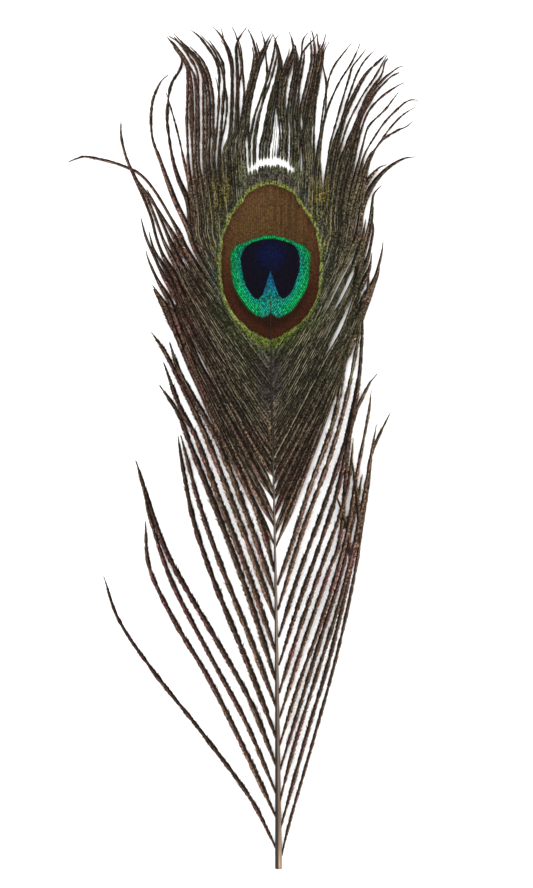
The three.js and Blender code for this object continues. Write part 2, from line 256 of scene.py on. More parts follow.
RIGHT_LOCKS = [
    (1, 0.3, [(-1.9, 236), (-1.3, 243), (-0.7, 250), (0, 257)]),
    (1, 0.3, [(-1.1, 236), (-0.6, 244), (0, 252)]),
    (1, 0.3, [(-0.3, 236), (0.2, 243), (0.8, 250), (1.2, 258)]),
    (3, 2.0, [(1.3, 236), (1.9, 241), (1.5, 247.7), (1.1, 253.7), (1.5, 259.3), (2.3, 263.7), (4, 268.7),
        (5, 272.7), (4.3, 276.7)]),
    (2, 1.2, [(3.5, 236), (3.9, 244), (3.9, 251), (4.8, 257), (5.8, 262.7), (6.8, 268), (6.5, 272),
        (5.3, 275.7)]),
    (3, 1.8, [(5.2, 236), (5.4, 244.3), (5, 251), (5.8, 257), (6.6, 262.7), (7.7, 269.3), (8.2, 275.3),
        (9.8, 278)]),
    (1, 0.5, [(6.8, 236), (6.6, 248), (7, 258), (6.9, 264.3), (7.7, 270.3), (10, 274), (12, 276),
        (13, 278)]),
    (2, 1.2, [(7.8, 235), (8.2, 242.7), (7.7, 249.3), (8.7, 256), (10.3, 262.7), (11.5, 269.3), (11, 276),
        (10.3, 278.7)]),
    (3, 2.0, [(9.4, 234), (9, 244), (10.4, 253), (12.3, 262.7), (14, 270), (13.3, 275.3), (13, 277.7)]),
    (3, 1.3, [(11, 233), (10.2, 242.7), (11, 251), (12.3, 257.7), (13.4, 264.3), (14, 271), (15.3, 275.3),
        (16, 278)]),
    (1, 0.4, [(12.2, 232), (11.9, 242), (12.4, 253), (13.8, 265), (15.3, 271.7), (17, 275)]),
    (1, 0.4, [(12.6, 230), (13, 238), (14, 244.3), (15.7, 251), (16, 261), (15.3, 265.3), (14.3, 270)]),
    (1, 0.4, [(13, 229), (13.6, 238), (14.4, 247.7), (15.3, 254.3), (16.3, 260), (17, 263), (18, 265.7),
        (19.3, 268), (21, 270.3), (24.7, 275)]),
    (1, 0.4, [(14.2, 223.6), (13.9, 230), (14, 238), (14.8, 245.3), (16.3, 252), (18.3, 257.3),
        (21, 262.7), (24, 267.3), (26.3, 272), (27.3, 274.7)]),
    (1, 0.5, [(15.9, 223.6), (16.1, 230), (17.2, 240), (19.4, 248.5), (21.7, 256.7), (23.7, 263.3),
        (24.7, 266.7), (26.7, 269.3), (29.3, 272.7)]),
    (1, 0.5, [(16.4, 229), (18, 240), (20.7, 247.7), (22.6, 254), (25.3, 262), (26.7, 265.3),
        (28.7, 268.7), (32, 272.3)]),
    (2, 1.1, [(17.4, 229), (19, 239), (21.3, 248.7), (24.7, 256.7), (28.3, 263.7), (30.7, 266.7),
        (33.3, 269.3), (35.3, 271.3)]),
    (1, 0.5, [(18.6, 229), (20.4, 238), (23, 247), (26.7, 254.7), (29, 258.7), (31.3, 262), (33.3, 265.3),
        (36.3, 270.7)]),
    (2, 1.1, [(19.6, 228), (21.8, 237), (25.3, 246), (29.7, 256.7), (33.7, 262.7), (35, 265.3),
        (35.7, 268), (37, 269.7)]),
    (1, 0.5, [(20.8, 228), (23, 237), (27.3, 250), (31.3, 258), (35.3, 263), (37.7, 265), (40, 266.7),
        (42, 267.3)]),
    (2, 1.1, [(21.8, 226), (24.4, 237), (27.3, 248.7), (31, 255.7), (33.3, 259), (36, 261.7),
        (38.3, 263.7), (41, 265)]),
    (1, 0.5, [(22.8, 225), (25.4, 236), (27.4, 244.7), (30, 251.7), (34.3, 256.7), (39.3, 260.3),
        (42, 261.7)]),
    (1, 0.5, [(23.6, 222), (26.3, 233), (28.2, 240.7), (30, 246.7), (33.7, 250.7), (36, 253), (38, 255.7),
        (40, 258.3)]),
    (1, 0.5, [(24.2, 220), (27.2, 231), (28.7, 237.3), (32, 243.3), (36, 249), (40.7, 253.7),
        (42.7, 255.3), (44.7, 256), (46.7, 255.7)]),
    (1, 0.3, [(25, 219), (28.2, 231), (30.4, 237), (33, 240.3), (36.7, 245.7), (41.3, 250.7), (46, 253.7)]),
    (1, 0.5, [(25.7, 218), (28.9, 230.3), (31, 236.7), (34.3, 242), (39.7, 245.7), (42.7, 247), (45, 249)]),
    (1, 0.5, [(26.2, 211), (27.7, 218), (29.3, 223.3), (32.3, 228.7), (36.7, 233.3), (41.7, 236.3),
        (45.7, 237)]),
    (1, 0.3, [(26.8, 214), (28, 224.3), (29.7, 228.7), (33.3, 233), (36, 234.3)]),
]

# Barbs of the flanks: the height of each root on the shaft, and its way from
# where it leaves the vane.
LEFT_FLANK = [
    (166.6, [(-31.7, 208.3), (-33, 211.7), (-36.3, 217.7), (-40, 224), (-43.7, 229), (-46.7, 231.7),
        (-49.3, 233), (-55.3, 235.2), (-63.7, 237), (-66.7, 236.5), (-69.7, 235.3)]),
    (161, [(-32.9, 206.8), (-34.7, 210.7), (-38.7, 217.3), (-42.7, 223.3), (-46.7, 229.3)]),
    (155, [(-33.6, 204), (-36.4, 210), (-41, 221), (-43.6, 226)]),
    (148.5, [(-34, 201), (-37.8, 208.3), (-41.3, 217.7), (-44, 224), (-47.3, 229.7), (-50, 235.3),
        (-51.3, 239.3), (-52.3, 244.3), (-52.3, 249)]),
    (141.5, [(-34.6, 198), (-37.9, 203.3), (-40.5, 210), (-42.3, 217), (-45.7, 225.4), (-50, 234.3)]),
    (134, [(-35, 195), (-38.3, 201), (-41.3, 206), (-43, 212)]),
    (126, [(-35.6, 193), (-38.3, 197.7), (-41.3, 204), (-44, 210.3), (-45.7, 216.7)]),
    (117.3, [(-36.2, 189.3), (-40, 195.7), (-43, 202.3), (-44, 205.7)]),
    (107.5, [(-36.6, 186), (-39, 189.7), (-40.3, 192), (-41.7, 194)]),
]
RIGHT_FLANK = [
    (154.2, [(26, 208), (27.6, 214), (28.6, 221)]),
    (149.7, [(26.4, 205), (28.2, 210.5), (29.2, 216)]),
    (146.2, [(25.7, 198.7), (28.3, 207), (30.3, 214.3), (31.3, 221), (31.9, 224.5), (34.3, 227.3)]),
    (142.4, [(26.2, 197), (29, 206), (31, 214), (31.8, 220)]),
    (138.3, [(27.4, 198), (29.7, 202.7), (31.3, 210), (31.7, 213.3), (31, 217)]),
    (134, [(27.8, 194), (30.3, 199.5), (31.3, 204.7)]),
    (129.4, [(28.6, 190), (32, 196), (34, 202.7), (34.7, 206), (35, 209)]),
    (124.5, [(29, 187), (31.3, 192.5), (33.3, 198), (33.9, 203)]),
    (119.2, [(27.4, 184), (29.6, 191), (30.3, 200)]),
    (113.2, [(26.6, 180), (30, 190), (32.3, 195.7)]),
    (106.5, [(24.3, 174), (27.6, 181.5), (29.6, 188)]),
]


# ---- curves --------------------------------------------------------------

def smooth_path(points, step):
    """Points on a Catmull-Rom curve through the given ones, evenly spaced."""
    knots = np.array(points, float)
    knots = np.vstack([2 * knots[0] - knots[1], knots, 2 * knots[-1] - knots[-2]])
    t = np.linspace(0, 1, 12, endpoint=False)[:, None]
    parts = []
    for a, b, c, d in zip(knots, knots[1:], knots[2:], knots[3:]):
        parts.append(0.5 * (2 * b + (c - a) * t + (2 * a - 5 * b + 4 * c - d) * t ** 2
                            + (3 * b - a - 3 * c + d) * t ** 3))
    fine = np.vstack(parts + [knots[-2][None]])
    return respaced(fine, step)


def respaced(path, step):
    lengths = np.r_[0, np.cumsum(np.linalg.norm(np.diff(path, axis=0), axis=1))]
    count = max(4, int(round(lengths[-1] / step)) + 1)
    at = np.linspace(0, lengths[-1], count)
    return np.stack([np.interp(at, lengths, path[:, i]) for i in range(path.shape[1])], 1)


def ease(value, low, high):
    t = np.clip((value - low) / (high - low), 0, 1)
    return t * t * (3 - 2 * t)


SHAFT_PATH = smooth_path(SHAFT_LINE, 1.0)


def shaft_x(y):
    return np.interp(y, SHAFT_PATH[:, 1], SHAFT_PATH[:, 0])


def height_at(x, y):
    """Height of a barb's stem over the surface: an arch beside the shaft."""
    out = np.maximum(0, np.abs(x - shaft_x(y)) - ARCH_START) / ARCH_SPAN
    arch = BARB_ARCH + (VANE_ARCH - BARB_ARCH) * ease(y, ARCH_FALLS_FROM, ARCH_FALLS_TO)
    drop = TIP_DROP * ease(out, 0.5, 1.0)
    return BARB_HEIGHT + arch * np.sin(np.pi * np.minimum(out, 1)) - drop


# ---- barbs ---------------------------------------------------------------

# One barb: its way in plan, its side, its layer, its half width and the radius
# of its stem along it, and its tint.
Barb = namedtuple("Barb", "path side layer reach stem tint")


def solid_points(path, layer):
    """Points in metres along a way in plan, at the height of its stem."""
    z = height_at(path[:, 0], path[:, 1]) + layer
    return np.column_stack([path, z]) * MM


def loose_barbs(guides, side, fullness):
    barbs = []
    for index, (half, points) in enumerate(guides):
        path = smooth_path(points, STEP)
        t = np.linspace(0, 1, len(path))
        left = length_left(path)
        reach = fullness * half * kept(LOOSE_ROOT, t, 0, 0.12)
        reach = reach * (1 - ease(left, LOOSE_NARROWS_OVER, 0) * LOOSE_NARROWING)
        reach = roughened(reach * kept(TIP_SHARE, left, -2, LOOSE_TIP_LENGTH), EDGE_ROUGHNESS)
        layer = LOOSE_LAYER * ((index * 2) % 5)
        barbs.append(Barb(path, side, layer, reach, np.interp(t, (0, 1), LOOSE_STEM), random.random()))
    return barbs


def kept(share, value, low, high):
    """A share of the width where value is low, and all of it where high."""
    return share + (1 - share) * ease(value, low, high)


def roughened(reach, amount):
    return reach * (1 + amount * ROUGHNESS.uniform(-1, 1, len(reach)))


def length_left(path):
    """Length from each point of a path to its end."""
    return np.hypot(*np.diff(path, axis=0, prepend=path[:1]).T)[::-1].cumsum()[::-1]


def slot_path(offset, side, top):
    """From the shaft up to a height, the way a barb of the closed vane goes."""
    drop = LEFT_ROOT_DROP if side < 0 else RIGHT_ROOT_DROP
    root = SLOT_LEVEL - INNER_ROOT_DROP - drop * offset
    bend = float(np.interp(offset, BEND_OFFSETS, LEFT_BENDS if side < 0 else RIGHT_BENDS))
    points = []
    for s in np.linspace(0, SLOT_PAST, 11):
        y = root + (SLOT_LEVEL - root) * s
        if y < top:
            reach = offset * (1 - max(0, 1 - s) ** bend)
            points.append((shaft_x(y) + side * reach, y))
    return points


def locked_paths(locks, side, free_reach):
    """Ways of every barb of the closed vane, gathered into locks at their ends,
    and how wide each may be there."""
    pitch, growth = LEFT_SLOT_PITCH if side < 0 else RIGHT_SLOT_PITCH
    paths, free = [], []
    slot = 0
    for count, width, guide in locks:
        spacing = width / max(1, count - 1)
        for member in range(count):
            across = 0 if count == 1 else member / (count - 1) - 0.5
            drift = random.uniform(-LOCK_DRIFT, LOCK_DRIFT) * abs(across) * 2
            offset = SLOT_START + pitch * slot + growth * slot ** 2
            lower = slot_path(offset, side, guide[0][1] - LOCK_JOIN)
            upper = []
            for step, (x, y) in enumerate(guide):
                gather = 1 - LOCK_GATHERING * step / (len(guide) - 1)
                upper.append((x + side * across * width * gather + drift * step, y))
            path = smooth_path(lower + upper, STEP)
            if member != count // 2:
                path = path[:int(len(path) * random.uniform(*LOCK_LENGTHS))]
            paths.append(path)
            slot += 1
        if count == 1:
            reach = SINGLE_REACH[0] * width + SINGLE_REACH[1]
        else:
            slim = 1 - MIDDLE_SLIMMING * ease(abs(guide[0][0]), *MIDDLE)
            reach = min(free_reach * slim, CLINGING_REACH[0] * spacing + CLINGING_REACH[1])
        free += [reach] * count
    return paths, free


def filled(flank, extra):
    """The barbs of a flank, with shorter ones between each two. Their roots
    keep close to the upper of the two, and they end inside the vane."""
    barbs = flank[:1]
    for (root, guide), (next_root, next_guide) in zip(flank, flank[1:]):
        for share in np.arange(1, extra + 1) / (extra + 1):
            clinging = 1 - ROOT_CLINGING * ease(root, *CLINGING_ROOTS)
            own_root = root + (next_root - root) * share * clinging
            length = random.uniform(*FILLING_LENGTHS)
            end = np.array(guide[0]) * (1 - share) + np.array(next_guide[0]) * share
            end = end * length + (1 - length) * np.array([shaft_x(own_root), own_root])
            barbs.append((own_root, [tuple(end)]))
        barbs.append((next_root, next_guide))
    return barbs


def flank_paths(flank, side):
    paths = []
    for root, guide in flank:
        end_x, end_y = guide[0]
        reach = abs(end_x - shaft_x(end_y))
        lower = []
        for s in np.linspace(0, FLANK_CURVE, 9):
            y = root + (end_y - root) * s
            lower.append((shaft_x(y) + side * reach * (1 - (1 - s) ** FLANK_BEND), y))
        paths.append(smooth_path(lower + guide, STEP))
    return paths


def opening(path, low, high):
    """How open a parting is at each point of a path, from 0 to 1."""
    return np.sin(np.pi * np.clip((path[:, 1] - low) / (high - low), 0, 1))


def parted(paths, side, partings):
    """The same ways, pushed aside where the vane has parted."""
    moved = [path.copy() for path in paths]
    for first, low, high, width in partings:
        for index, path in enumerate(moved):
            away = index - first if index >= first else first - 1 - index
            push = width / 2 * max(0, 1 - away / PARTING_SPREAD)
            path[:, 0] += side * (1 if index >= first else -1) * push * opening(path, low, high)
    return moved


def gap_to(path, other):
    """Distance from each point of a path to another path."""
    fine = respaced(other, 0.4)
    return np.array([np.hypot(*(fine - point).T).min() for point in path])


def vane_barbs(locks, flank, side, partings, free_reach, hairs=()):
    """Barbs just wide enough to touch their neighbours, and slim where free."""
    locked, free = locked_paths(locks, side, free_reach)
    closed_paths = locked + flank_paths(flank, side)
    free += [FLANK_REACH] * len(flank)
    leaves = [FREE_HEIGHTS] * len(locked)
    leaves += [(guide[0][1], guide[0][1] + FLANK_FREE_OVER) for _, guide in flank]
    paths = parted(closed_paths, side, partings)
    barbs = []
    for index, (path, before) in enumerate(zip(paths, closed_paths)):
        height = path[:, 1]
        gaps = []
        for other in (index - 1, index + 1):
            if 0 <= other < len(paths):
                between = [parting for parting in partings if parting[0] == max(other, index)]
                opened = sum(opening(before, low, high) for _, low, high, _ in between)
                gaps.append(gap_to(before, closed_paths[other]) * (1 - opened))
        closed = ease(height, *CLOSED_HEIGHTS)
        gap = closed * np.max(gaps, 0) + (1 - closed) * np.min(gaps, 0)
        left = length_left(path)
        body = VANE_REACH if index < len(locked) else FLANK_BODY_REACH
        widest = body + (free[index] - body) * ease(height, *leaves[index])
        reach = np.clip(gap * GAP_COVER, SLIM_REACH, widest)
        # The lowest barbs stand apart at their roots.
        opens = OPEN_ROOT_LENGTH * ease(height[0], *OPEN_ROOTS) * random.uniform(*OPEN_ROOT_SCATTER)
        reach = reach * kept(VANE_ROOT, height - height[0], -0.1, opens)
        reach = roughened(reach, EDGE_ROUGHNESS * ease(height, *ROUGH_HEIGHTS))
        if index in hairs:
            reach = reach * (1 - HAIR_THINNING * ease(height, *HAIR_HEIGHTS))
        reach = reach * kept(TIP_SHARE, left, -2, VANE_TIP_LENGTH)
        stem = np.linspace(*VANE_STEM, len(path)) * np.where(in_crescent(path), CRESCENT_STEM, 1)
        barbs.append(Barb(path, side, random.uniform(*VANE_LAYERS), reach, stem, random.random()))
    return barbs


def in_crescent(path):
    x = (path[:, 0] - CRESCENT_X) / CRESCENT_HALF
    low = CRESCENT_LOW - CRESCENT_LOW_FALL * x ** 2
    high = CRESCENT_HIGH - CRESCENT_HIGH_FALL * x ** 2
    return (np.abs(x) < 1) & (path[:, 1] > low) & (path[:, 1] < high)


# ---- geometry nodes ------------------------------------------------------

class NodeTree:
    """A small helper to write a node tree as nested calls."""

    def __init__(self, tree):
        self.tree = tree

    def give(self, socket, value):
        if isinstance(value, bpy.types.NodeSocket):
            self.tree.links.new(value, socket)
        else:
            socket.default_value = value

    def add(self, kind, *inputs, **settings):
        node = self.tree.nodes.new(kind)
        named = settings.pop("named", {})
        for key, value in settings.items():
            setattr(node, key, value)
        for socket, value in [*enumerate(inputs), *named.items()]:
            self.give(node.inputs[socket], value)
        return node

    def math(self, operation, *values):
        return self.add("ShaderNodeMath", *values, operation=operation).outputs[0]

    def times(self, value, *others):
        for other in others:
            value = self.math("MULTIPLY", value, other)
        return value

    def plus(self, value, *others):
        for other in others:
            value = self.math("ADD", value, other)
        return value

    def minus(self, value, other):
        return self.math("SUBTRACT", value, other)


def geometry_tree(name, inputs):
    tree = bpy.data.node_groups.new(name, "GeometryNodeTree")
    tree.interface.new_socket("Geometry", in_out="OUTPUT", socket_type="NodeSocketGeometry")
    for label, kind in [("Geometry", "Geometry")] + inputs:
        tree.interface.new_socket(label, in_out="INPUT", socket_type="NodeSocket" + kind)
    return NodeTree(tree), tree.nodes.new("NodeGroupInput").outputs


def named_float(g, label):
    node = g.add("GeometryNodeInputNamedAttribute", label, data_type="FLOAT")
    return node.outputs["Attribute"]


def store_float(g, geometry, label, value, domain):
    node = g.add("GeometryNodeStoreNamedAttribute", data_type="FLOAT", domain=domain,
                 named={"Geometry": geometry, "Name": label, "Value": value})
    return node.outputs["Geometry"]


def chance(g, low, high, seed):
    """A random number for each barbule."""
    return g.add("FunctionNodeRandomValue", data_type="FLOAT",
                 named={2: low, 3: high, "Seed": seed}).outputs[1]


def finish_tree(g, geometry, material):
    realized = g.add("GeometryNodeRealizeInstances", geometry)
    coloured = g.add("GeometryNodeSetMaterial", realized.outputs[0], named={"Material": material})
    out = g.tree.nodes.new("NodeGroupOutput")
    g.tree.links.new(coloured.outputs[0], out.inputs[0])


def barb_curve(g, geometry):
    curve = g.add("GeometryNodeMeshToCurve", geometry).outputs[0]
    return g.add("GeometryNodeSetCurveNormal", curve, mode="Z_UP").outputs[0]


def stem_tree():
    """Tapered round stems along the barbs."""
    g, given = geometry_tree("Barb stems", [("Sides", "Int"), ("Material", "Material")])
    curve = barb_curve(g, given["Geometry"])
    ring = g.add("GeometryNodeCurvePrimitiveCircle", given["Sides"], named={"Radius": 1.0})
    tube = g.add("GeometryNodeCurveToMesh", curve, ring.outputs[0],
                 named={"Scale": named_float(g, "stem"), "Fill Caps": True}).outputs[0]
    finish_tree(g, tube, given["Material"])
    return g.tree


def barbule_blade(g, bend, droop):
    """A leaf-shaped blade one unit long, flat, bent forward and drooping."""
    grid = g.add("GeometryNodeMeshGrid", 1.0, 1.0, 4, 2).outputs[0]
    place = g.add("GeometryNodeInputPosition").outputs[0]
    parts = g.add("ShaderNodeSeparateXYZ", place).outputs
    along = g.plus(parts[0], 0.5)
    squared = g.times(along, along)
    narrow = g.minus(1.0, g.times(squared, BARBULE_TAPER))
    curved = g.plus(g.times(parts[1], narrow), g.times(squared, bend))
    down = g.times(squared, droop, -1.0)
    moved = g.add("ShaderNodeCombineXYZ", along, curved, down).outputs[0]
    return g.add("GeometryNodeSetPosition", named={"Geometry": grid, "Position": moved}).outputs[0]


def barbule_tree():
    """A narrow web along each barb, and barbules in two rows on its edges."""
    g, given = geometry_tree("Barbules", [
        ("Pitch", "Float"), ("Angle", "Float"), ("Blade width", "Float"), ("Droop", "Float"),
        ("Web share", "Float"), ("Seed", "Int"), ("Material", "Material"),
    ])
    curve = barb_curve(g, given["Geometry"])
    reach = named_float(g, "reach")
    # The web is a shallow roof, its middle on the stem.
    sections = []
    for turn in (1.0, -1.0):
        edge = g.add("ShaderNodeCombineXYZ", g.times(given["Web share"], -turn), -WEB_FALL, 0.0)
        line = g.add("GeometryNodeCurvePrimitiveLine",
                     named={"Start": edge.outputs[0], "End": (0.0, 0.0, 0.0)}).outputs[0]
        strip = g.add("GeometryNodeCurveToMesh", curve, line, named={"Scale": reach}).outputs[0]
        hand = g.times(named_float(g, "hand"), turn)
        sections.append(store_float(g, strip, "side", hand, "POINT"))
    points = g.add("GeometryNodeCurveToPoints", curve, mode="LENGTH",
                   named={"Length": given["Pitch"]}).outputs
    heading = g.add("ShaderNodeSeparateXYZ", points["Tangent"]).outputs
    yaw = g.math("ARCTAN2", heading[1], heading[0])
    length = g.math("DIVIDE", reach, g.math("SINE", given["Angle"]))
    for turn in (1.0, -1.0):
        blade = barbule_blade(g, -BARBULE_BEND * turn, given["Droop"])
        seed = g.plus(given["Seed"], 3.0 * turn)
        spin, tip, size, tint = [chance(g, low, high, g.plus(seed, 20.0 * index))
                                 for index, (low, high) in enumerate(BARBULE_RANGES)]
        turned = g.plus(yaw, g.times(g.plus(given["Angle"], spin), turn))
        rotation = g.add("ShaderNodeCombineXYZ", 0.0, tip, turned).outputs[0]
        long = g.times(length, size)
        scale = g.add("ShaderNodeCombineXYZ", long, given["Blade width"], long).outputs[0]
        row = g.add("GeometryNodeInstanceOnPoints", points["Points"],
                    named={"Instance": blade, "Rotation": rotation, "Scale": scale}).outputs[0]
        hand = g.times(named_float(g, "hand"), turn)
        row = store_float(g, row, "side", hand, "INSTANCE")
        sections.append(store_float(g, row, "tint", tint, "INSTANCE"))
    joined = g.tree.nodes.new("GeometryNodeJoinGeometry")
    for section in reversed(sections):
        g.tree.links.new(section, joined.inputs[0])
    finish_tree(g, joined.outputs[0], given["Material"])
    return g.tree


def placed(name, data):
    """A new object in the scene, at the origin."""
    thing = bpy.data.objects.new(name, data)
    bpy.context.scene.collection.objects.link(thing)
    return thing


def grown(name, source, tree, values):
    """The plain mesh that a tree grows on a source, as a new piece."""
    piece = placed(name, source)
    modifier = piece.modifiers.new("Growth", "NODES")
    modifier.node_group = tree
    for item in tree.interface.items_tree:
        if item.in_out == "INPUT" and item.name in values:
            modifier[item.identifier] = values[item.name]
    graph = bpy.context.evaluated_depsgraph_get()
    mesh = bpy.data.meshes.new_from_object(piece.evaluated_get(graph))
    piece.modifiers.clear()
    piece.data = mesh
    return piece


def line_mesh(name, runs):
    """Edges along runs of points, each run (points, {attribute: values})."""
    mesh = bpy.data.meshes.new(name)
    points = np.vstack([run[0] for run in runs])
    edges = []
    start = 0
    for run in runs:
        count = len(run[0])
        edges += [(start + i, start + i + 1) for i in range(count - 1)]
        start += count
    mesh.from_pydata(points.tolist(), edges, [])
    for label in runs[0][1]:
        values = np.concatenate([run[1][label] for run in runs]).astype(np.float32)
        mesh.attributes.new(label, "FLOAT", "POINT").data.foreach_set("value", values)
    return mesh


def barbule_runs(barbs):
    """The stretches of each barb that carry barbules."""
    runs = []
    for barb in barbs:
        bare = in_crescent(barb.path)
        points = solid_points(barb.path, barb.layer)
        cuts = np.flatnonzero(np.diff(bare.astype(int)) != 0) + 1
        for part in np.split(np.arange(len(points)), cuts):
            if bare[part[0]] or len(part) < 3:
                continue
            reach = barb.reach[part].copy()
            if part[-1] + 1 < len(points):
                reach[-2:] *= CUT_TAPER[::-1]
            if part[0] > 0:
                reach[:2] *= CUT_TAPER
            runs.append((points[part], {
                "reach": reach * MM,
                "hand": np.full(len(part), -float(barb.side)),
                "barb_tint": np.full(len(part), barb.tint),
                "tip": 1 - ease(length_left(barb.path)[part], *TIP_LENGTHS),
            }))
    return runs


def stem_runs(barbs):
    runs = []
    for barb in barbs:
        path = respaced(np.column_stack([barb.path, barb.stem]), STEM_STEP)
        runs.append((solid_points(path[:, :2], barb.layer), {
            "stem": path[:, 2] * MM,
            "barb_tint": np.full(len(path), barb.tint),
        }))
    return runs


# ---- finishes ------------------------------------------------------------

def linear(code):
    """A colour from its six-digit code, as the linear values that shaders use."""
    parts = [int(code[i:i + 2], 16) / 255 for i in (0, 2, 4)]
    return [c / 12.92 if c <= 0.04045 else ((c + 0.055) / 1.055) ** 2.4 for c in parts] + [1]


class Finish(NodeTree):
    """A material and the helpers that its colour is written with."""

    def __init__(self, name, roughness, specular):
        self.material = bpy.data.materials.new(name)
        self.material.use_nodes = True
        super().__init__(self.material.node_tree)
        self.shader = self.tree.nodes["Principled BSDF"]
        self.shader.inputs["Roughness"].default_value = roughness
        self.shader.inputs["Specular IOR Level"].default_value = specular

    def painted(self, colour):
        self.give(self.shader.inputs["Base Color"], colour)
        return self.material

    def attribute(self, label):
        return self.add("ShaderNodeAttribute", attribute_name=label).outputs["Fac"]

    def place(self):
        """Where a point lies across and along the feather, in millimetres."""
        spot = self.add("ShaderNodeTexCoord").outputs["Object"]
        xyz = self.add("ShaderNodeSeparateXYZ", spot).outputs
        return self.times(xyz[0], 1 / MM), self.times(xyz[1], 1 / MM)

    def noise(self, scale, detail, stretch=(1, 1, 1), own=0):
        """Noise over the object; a different pattern for each value of own."""
        spot = self.add("ShaderNodeTexCoord").outputs["Object"]
        mapped = self.add("ShaderNodeMapping", spot, named={"Scale": stretch}).outputs[0]
        return self.add("ShaderNodeTexNoise", mapped, noise_dimensions="4D",
                        named={"W": own, "Scale": scale, "Detail": detail}).outputs["Fac"]

    def curve(self, value, points, sharp=()):
        """A curve of value through given points; both run from 0 to 1."""
        node = self.add("ShaderNodeFloatCurve", named={"Value": value})
        line = node.mapping.curves[0]
        for x, y in points[1:-1]:
            line.points.new(x, y)
        for point, place in zip(line.points, points):
            point.location = place
            point.handle_type = "VECTOR" if place in sharp else "AUTO"
        node.mapping.update()
        return node.outputs[0]

    def length(self, x, y):
        return self.math("SQRT", self.plus(self.times(x, x), self.times(y, y)))

    def swing(self, value, amount):
        """A value from 0 to 1, as one to both sides of 0."""
        return self.times(self.minus(value, 0.5), amount)

    def step(self, value, low, high):
        node = self.add("ShaderNodeMapRange", value, low, high, 0, 1, interpolation_type="SMOOTHSTEP")
        return node.outputs[0]

    def within(self, *steps):
        """The product of steps, each (value, low, high)."""
        return self.times(*[self.step(*step) for step in steps])

    def blend(self, factor, a, b):
        return self.add("ShaderNodeMix", factor, named={2: a, 3: b}).outputs[0]

    def mix(self, factor, a, b, kind="MIX"):
        """Colour a with b over it by factor; each may be a six-digit code."""
        node = self.add("ShaderNodeMix", data_type="RGBA", blend_type=kind)
        for socket, value in ((0, factor), (6, a), (7, b)):
            self.give(node.inputs[socket], linear(value) if isinstance(value, str) else value)
        return node.outputs[2]

    def tinted(self, colour, mask, share, code):
        return self.mix(self.times(mask, share), colour, code)

    def shaded(self, colour, light):
        grey = self.add("ShaderNodeCombineColor", light, light, light).outputs[0]
        return self.mix(1, colour, grey, "MULTIPLY")


# Outlines of the eye round its middle, each point (turn from straight up over
# half a turn, radius over RADIUS_UNIT in millimetres).
RADIUS_UNIT = 100 / 3
BRONZE_EDGE = [(0, .77), (.11, .705), (.22, .595), (.34, .525), (.47, .49), (.6, .51),
               (.7, .565), (.8, .63), (.9, .70), (1, .775)]
RING_EDGE = [(0, .254), (.17, .27), (.25, .294), (.31, .323), (.36, .367), (.42, .39), (.57, .395),
             (.69, .435), (.8, .48), (.9, .54), (.955, .552), (1, .50)]
DARK_EDGE = [(0, .223), (.157, .238), (.24, .26), (.31, .284), (.42, .293), (.57, .297), (.69, .315),
             (.79, .357), (.86, .388), (.9, .394), (.925, .34), (.933, .27), (.943, .205), (.957, .14),
             (1, .086)]
DARK_SHARP = ((.9, .394), (.925, .34), (.933, .27), (.943, .205), (.957, .14))
BRONZE_SLIP = 0.034        # how far the edge of the bronze has slipped beside its top
RAGGED = (0.35, 0.45)      # how far barbules, and barbs, move the outlines
BLUE_ABOVE = 2.3           # of the middle of the eye


class EyeFinish(Finish):
    """A finish that follows the eye. A point's place from the middle of the
    eye is dx and dy, wide to either side and far in all, in millimetres."""

    def __init__(self, name, roughness, specular):
        super().__init__(name, roughness, specular)
        x, y = self.place()
        self.dx = self.minus(x, EYE_X)
        self.dy = self.minus(y, EYE_Y)
        self.wide = self.math("ABSOLUTE", self.dx)
        self.far = self.length(self.dx, self.dy)
        self.turn = self.math("DIVIDE", self.math("ARCTAN2", self.wide, self.dy), math.pi)
        self.barb_tint = self.attribute("barb_tint")
        self.ragged = 0

    def beyond(self, edge, sharp=()):
        """How far a point lies outside an outline, over RADIUS_UNIT."""
        radius = self.math("DIVIDE", self.plus(self.far, self.ragged), RADIUS_UNIT)
        return self.minus(radius, self.curve(self.turn, edge, sharp))


